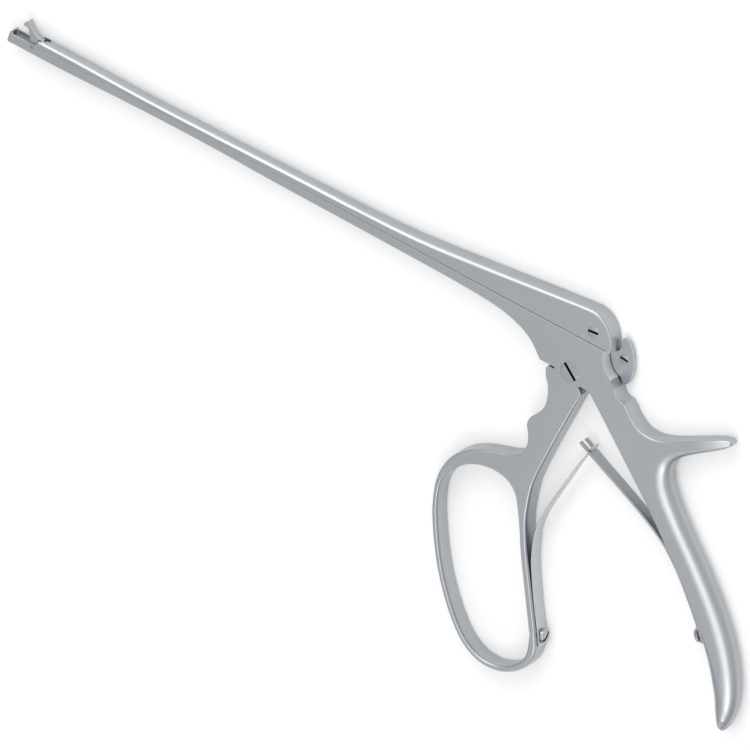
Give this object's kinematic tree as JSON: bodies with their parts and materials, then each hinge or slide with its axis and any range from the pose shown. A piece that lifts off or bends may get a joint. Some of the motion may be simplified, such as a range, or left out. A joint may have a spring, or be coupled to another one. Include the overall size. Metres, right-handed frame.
{
  "type": "biopsy forceps",
  "caption": "Satin steel biopsy forceps with a long sliding shaft, basket jaw with swinging hook jaw, finger-ring lever, thumb spur handle and two hooked leaf springs.",
  "frame": {"origin": "lever's pivot axis on the flat back plane", "axes": "+X along the shaft from the jaw towards the handles, +Y from the lever side towards the slider, +Z out of the flat back plane along the lever's pivot axis"},
  "size_m": [0.305, 0.1288, 0.008],
  "materials": {
    "satin_steel": "satin",
    "spring_steel": "satin",
    "screw_steel": "satin"
  },
  "bodies": {
    "frame": {"frame": "satin_steel", "jaw_pivot_pin": "screw_steel", "handle_pivot_screw": "screw_steel", "slider_stop_plate": "satin_steel", "stop_plate_screw": "screw_steel", "rear_spring_screw": "screw_steel"},
    "slider": {"slider": "satin_steel", "slider_drive_screw": "screw_steel"},
    "upper_jaw": {"upper_jaw": "satin_steel", "jaw_link_pin": "screw_steel"},
    "finger_handle": {"finger_handle": "satin_steel", "front_spring_screw": "screw_steel"},
    "front_spring": {"front_leaf_spring": "spring_steel"},
    "rear_spring": {"rear_leaf_spring": "spring_steel"}
  },
  "joints": [
    {"name": "handle_squeeze", "type": "hinge", "parent": "frame", "child": "finger_handle", "pos_m": [0, 0, 0], "axis": [0, 0, 1], "range_deg": [0, 6.34], "stiffness_Nm_per_rad": 0.9, "springref_deg": -8.59},
    {"name": "slider_travel", "type": "slide", "parent": "frame", "child": "slider", "axis": [-1, 0, 0], "range_m": [0, 0.00181]},
    {"name": "jaw_close", "type": "hinge", "parent": "frame", "child": "upper_jaw", "pos_m": [-0.2065, 0.011, 0], "axis": [0, 0, 1], "range_deg": [0, 44.1]},
    {"name": "front_spring_flex", "type": "hinge", "parent": "finger_handle", "child": "front_spring", "pos_m": [0.0084, -0.056, 0.004], "axis": [0, 0, 1], "range_deg": [0, 2.6], "deforming": ["front_leaf_spring"]},
    {"name": "rear_spring_flex", "type": "hinge", "parent": "frame", "child": "rear_spring", "pos_m": [0.054, -0.0433, 0.004], "axis": [0, 0, 1], "range_deg": [-3, 0], "deforming": ["rear_leaf_spring"]}
  ],
  "couplings": [
    {"joint": "slider_travel", "follows": "handle_squeeze", "m_per_rad": 0.016098},
    {"joint": "jaw_close", "follows": "handle_squeeze", "ratio": 6.9401},
    {"joint": "front_spring_flex", "follows": "handle_squeeze", "ratio": 0.366},
    {"joint": "rear_spring_flex", "follows": "handle_squeeze", "ratio": -0.426}
  ]
}
